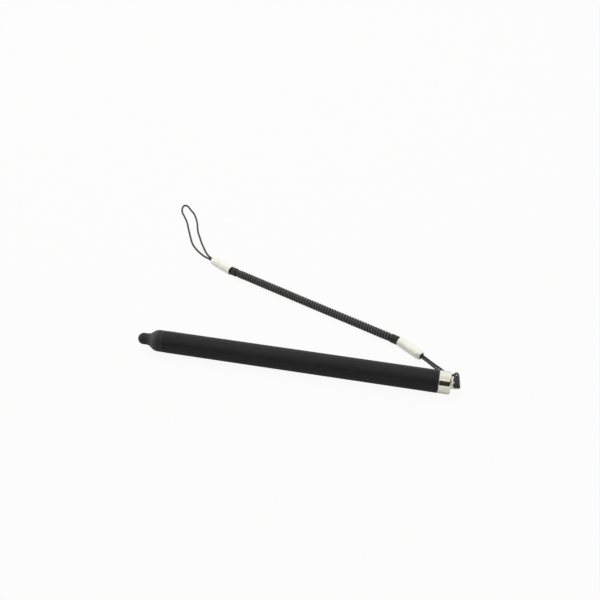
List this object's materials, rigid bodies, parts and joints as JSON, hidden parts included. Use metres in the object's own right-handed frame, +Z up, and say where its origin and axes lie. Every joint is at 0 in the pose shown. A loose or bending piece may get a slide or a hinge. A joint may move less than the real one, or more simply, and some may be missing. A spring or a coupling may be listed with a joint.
{
  "type": "tethered stylus",
  "caption": "Passive touch stylus with a black barrel, rubber nose, chrome end cap and eye, and a coiled tether with chromed ferrules and a cord loop.",
  "frame": {"origin": "on the surface that the pen lies on, below the middle of the pen's length and width, tether left out", "axes": "+X along the pen from its touch end to its eye, +Z up, +Y towards the side where the tether lies"},
  "size_m": [0.1469, 0.109, 0.009],
  "materials": {
    "nose_rubber": "matt moulded",
    "core_steel": "turned",
    "barrel_black": "satin black",
    "chrome": "bright plated",
    "thin_cord": "braided",
    "collar_black": "shrunk sleeve",
    "coil_jacket": "satin jacket"
  },
  "bodies": {
    "pen": {"conductive_tip": "nose_rubber", "tip_core": "core_steel", "barrel": "barrel_black", "end_cap": "chrome"},
    "tether_pen_side": {"pen_strap": "thin_cord", "lower_ferrule": "chrome", "lower_collar": "collar_black", "coil_cord": "coil_jacket"},
    "tether_device_side": {"upper_collar": "collar_black", "upper_ferrule": "chrome"},
    "loop": {"device_loop": "thin_cord"}
  },
  "joints": [
    {"name": "tether_swing", "type": "hinge", "parent": "pen", "child": "tether_pen_side", "pos_m": [0.0629, 0.0042, 0.0045], "axis": [0, 0, -1], "range_deg": [-8, 150], "deforming": ["pen_strap"]},
    {"name": "coil_stretch", "type": "slide", "parent": "tether_pen_side", "child": "tether_device_side", "axis": [-0.9306, 0.366, 0], "range_m": [0, 0.12], "stiffness_N_per_m": 15, "deforming": ["coil_cord"]},
    {"name": "loop_swing", "type": "hinge", "parent": "tether_device_side", "child": "loop", "pos_m": [-0.05171, 0.06016, 0.0021], "axis": [0, 0, 1], "range_deg": [-60, 60], "deforming": ["device_loop"]}
  ]
}
